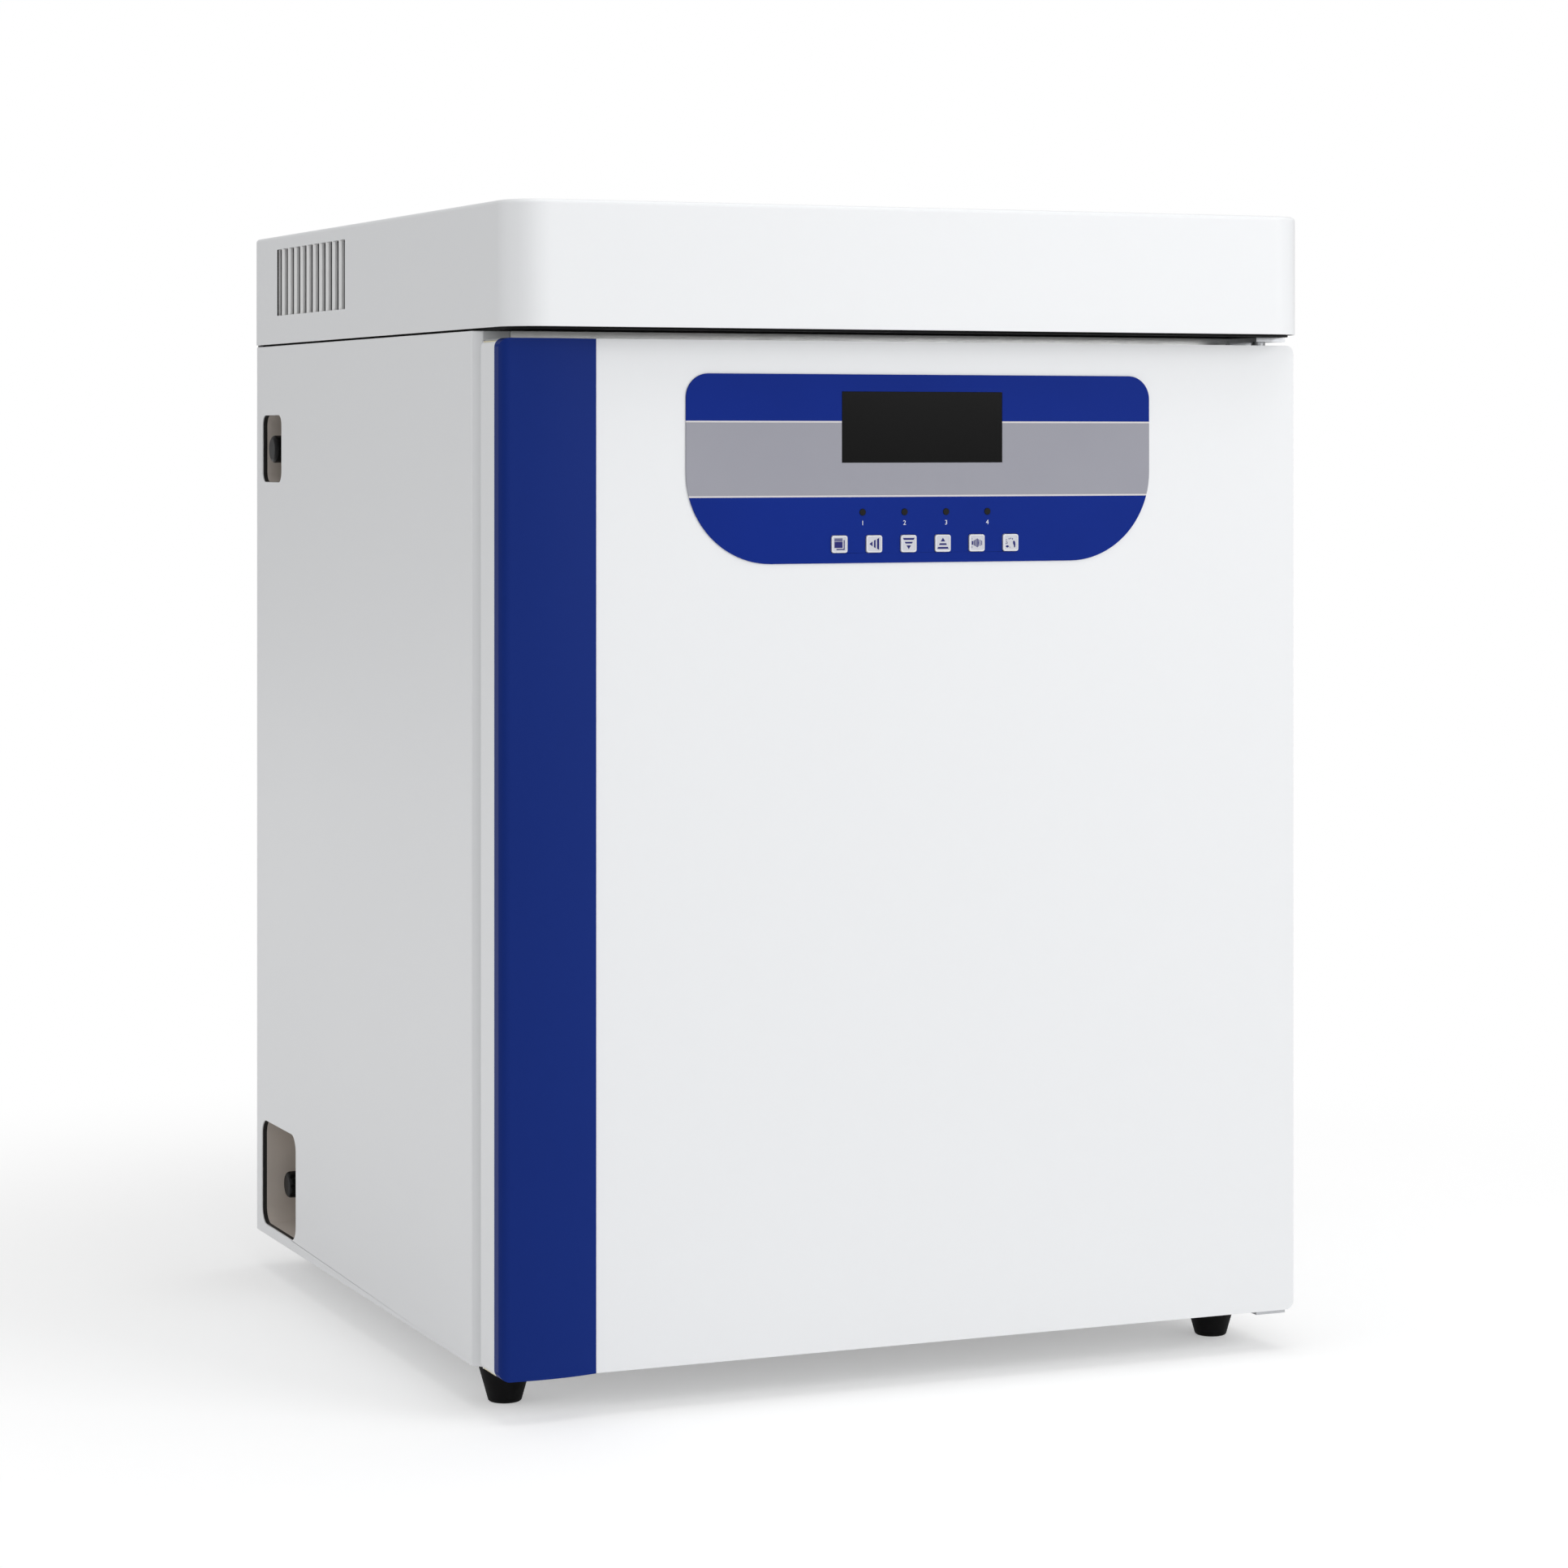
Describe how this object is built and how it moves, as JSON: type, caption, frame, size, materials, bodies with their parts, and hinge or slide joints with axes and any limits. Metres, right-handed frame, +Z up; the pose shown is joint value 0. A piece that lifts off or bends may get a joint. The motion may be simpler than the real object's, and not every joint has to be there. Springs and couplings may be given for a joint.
{
  "type": "carbon dioxide incubator",
  "caption": "Bench top carbon dioxide incubator: insulated water-jacketed case, solid outer door with control panel, inner glass door, shelves, side ports and rear connections.",
  "frame": {"origin": "on the floor under the middle of the object's bounding box", "axes": "+X to the viewer's right when facing the door, -Y out of the front, +Z up"},
  "size_m": [0.59, 0.631, 0.797],
  "materials": {
    "white_paint": "satin powder coat",
    "grey_plastic": "fine moulded grain",
    "white_plastic": "satin",
    "blue_handle": "satin gloss",
    "blue_overlay": "printed film",
    "black_window": "gloss",
    "black_lamp": "gloss",
    "grey_key": "satin",
    "black_plastic": "satin",
    "black_rubber": "matt",
    "grey_rubber": "matt",
    "white_silicone": "matt",
    "stainless": "fine brushed",
    "zinc_steel": "zinc plated",
    "brass": "machined",
    "foam": "rigid foam",
    "glass": "clear tempered",
    "lamp_glass": "frosted tube",
    "board_green": "solder mask",
    "motor_black": "satin",
    "bearing_plastic": "satin"
  },
  "bodies": {
    "cabinet": {"base_pan": "white_paint", "left_side_panel": "white_paint", "right_side_panel": "white_paint", "rear_panel": "white_paint", "case_screws": "zinc_steel", "feet": "black_rubber", "front_frame": "stainless", "header_floor": "white_paint", "header_cover": "white_paint", "vent_grilles": "white_plastic", "chamber_liner": "stainless", "jacket_tank": "stainless", "case_insulation": "foam", "jacket_heater": "grey_rubber", "shelf_racks": "stainless", "fan_motor": "motor_black", "fan_cover": "stainless", "uv_lamp": "lamp_glass", "chamber_sensors": "stainless", "upper_port_recess": "grey_plastic", "lower_port_recess": "grey_plastic", "fill_port": "brass", "drain_valve": "brass", "jacket_pipes": "stainless", "gas_inlet": "brass", "gas_valve": "brass", "gas_line": "stainless", "power_entry": "black_plastic", "power_supply": "zinc_steel", "control_board": "board_green", "door_hinge_brackets": "zinc_steel", "glass_door_gasket": "white_silicone", "glass_hinge_brackets": "stainless"},
    "outer_door": {"hinge_bushes": "bearing_plastic", "door_outer_panel": "white_paint", "door_inner_panel": "stainless", "door_insulation": "foam", "door_gasket": "grey_rubber", "handle_strip": "blue_handle", "control_overlay": "blue_overlay", "display_window": "black_window", "key_board": "board_green", "indicator_lamps": "black_lamp"},
    "glass_door": {"glass_pane": "glass", "glass_hinge_clamps": "stainless", "glass_knob": "stainless"},
    "circulation_fan": {"fan_wheel": "stainless"},
    "mains_rocker": {"power_rocker": "black_plastic"},
    "filling_cap": {"fill_cap": "black_plastic"},
    "drain_handwheel": {"drain_knob": "black_plastic"},
    "lower_tray": {"lower_shelf": "stainless"},
    "middle_tray": {"middle_shelf": "stainless"},
    "upper_tray": {"upper_shelf": "stainless"},
    "humidity_tray": {"water_pan": "stainless"},
    "menu_button": {"menu_key": "grey_key"},
    "shift_button": {"shift_key": "grey_key"},
    "down_button": {"down_key": "grey_key"},
    "up_button": {"up_key": "grey_key"},
    "alarm_button": {"alarm_key": "grey_key"},
    "lamp_button": {"lamp_key": "grey_key"}
  },
  "joints": [
    {"name": "outer_door_hinge", "type": "hinge", "parent": "cabinet", "child": "outer_door", "pos_m": [0.277, -0.2744, 0.3705], "axis": [0, 0, 1], "range_deg": [0, 115]},
    {"name": "glass_door_hinge", "type": "hinge", "parent": "cabinet", "child": "glass_door", "pos_m": [0.222, -0.2493, 0.3705], "axis": [0, 0, 1], "range_deg": [0, 105]},
    {"name": "lower_shelf_slide", "type": "slide", "parent": "cabinet", "child": "lower_tray", "axis": [0, -1, 0], "range_m": [0, 0.112]},
    {"name": "middle_shelf_slide", "type": "slide", "parent": "cabinet", "child": "middle_tray", "axis": [0, -1, 0], "range_m": [0, 0.112]},
    {"name": "upper_shelf_slide", "type": "slide", "parent": "cabinet", "child": "upper_tray", "axis": [0, -1, 0], "range_m": [0, 0.112]},
    {"name": "water_pan_slide", "type": "slide", "parent": "cabinet", "child": "humidity_tray", "axis": [0, -1, 0], "range_m": [0, 0.112]},
    {"name": "menu_key_press", "type": "slide", "parent": "outer_door", "child": "menu_button", "axis": [0, 1, 0], "range_m": [0, 0.0008], "stiffness_N_per_m": 400},
    {"name": "shift_key_press", "type": "slide", "parent": "outer_door", "child": "shift_button", "axis": [0, 1, 0], "range_m": [0, 0.0008], "stiffness_N_per_m": 400},
    {"name": "down_key_press", "type": "slide", "parent": "outer_door", "child": "down_button", "axis": [0, 1, 0], "range_m": [0, 0.0008], "stiffness_N_per_m": 400},
    {"name": "up_key_press", "type": "slide", "parent": "outer_door", "child": "up_button", "axis": [0, 1, 0], "range_m": [0, 0.0008], "stiffness_N_per_m": 400},
    {"name": "alarm_key_press", "type": "slide", "parent": "outer_door", "child": "alarm_button", "axis": [0, 1, 0], "range_m": [0, 0.0008], "stiffness_N_per_m": 400},
    {"name": "lamp_key_press", "type": "slide", "parent": "outer_door", "child": "lamp_button", "axis": [0, 1, 0], "range_m": [0, 0.0008], "stiffness_N_per_m": 400},
    {"name": "fan_spin", "type": "hinge", "parent": "cabinet", "child": "circulation_fan", "pos_m": [0, 0.1295, 0.5245], "axis": [0, 1, 0], "continuous": true},
    {"name": "mains_rocker_tip", "type": "hinge", "parent": "cabinet", "child": "mains_rocker", "pos_m": [0.18, 0.2825, 0.771], "axis": [1, 0, 0], "range_deg": [0, 18]},
    {"name": "fill_cap_pull", "type": "slide", "parent": "cabinet", "child": "filling_cap", "axis": [-1, 0, 0], "range_m": [0, 0.036]},
    {"name": "drain_knob_turn", "type": "hinge", "parent": "cabinet", "child": "drain_handwheel", "pos_m": [-0.275, 0.2475, 0.0675], "axis": [1, 0, 0], "range_deg": [0, 90]}
  ],
  "couplings": [
    {"joint": "glass_door_hinge", "follows": "outer_door_hinge", "ratio": 0.9},
    {"joint": "lower_shelf_slide", "follows": "outer_door_hinge", "m_per_rad": 0.055},
    {"joint": "middle_shelf_slide", "follows": "outer_door_hinge", "m_per_rad": 0.055},
    {"joint": "upper_shelf_slide", "follows": "outer_door_hinge", "m_per_rad": 0.055},
    {"joint": "water_pan_slide", "follows": "outer_door_hinge", "m_per_rad": 0.055}
  ]
}
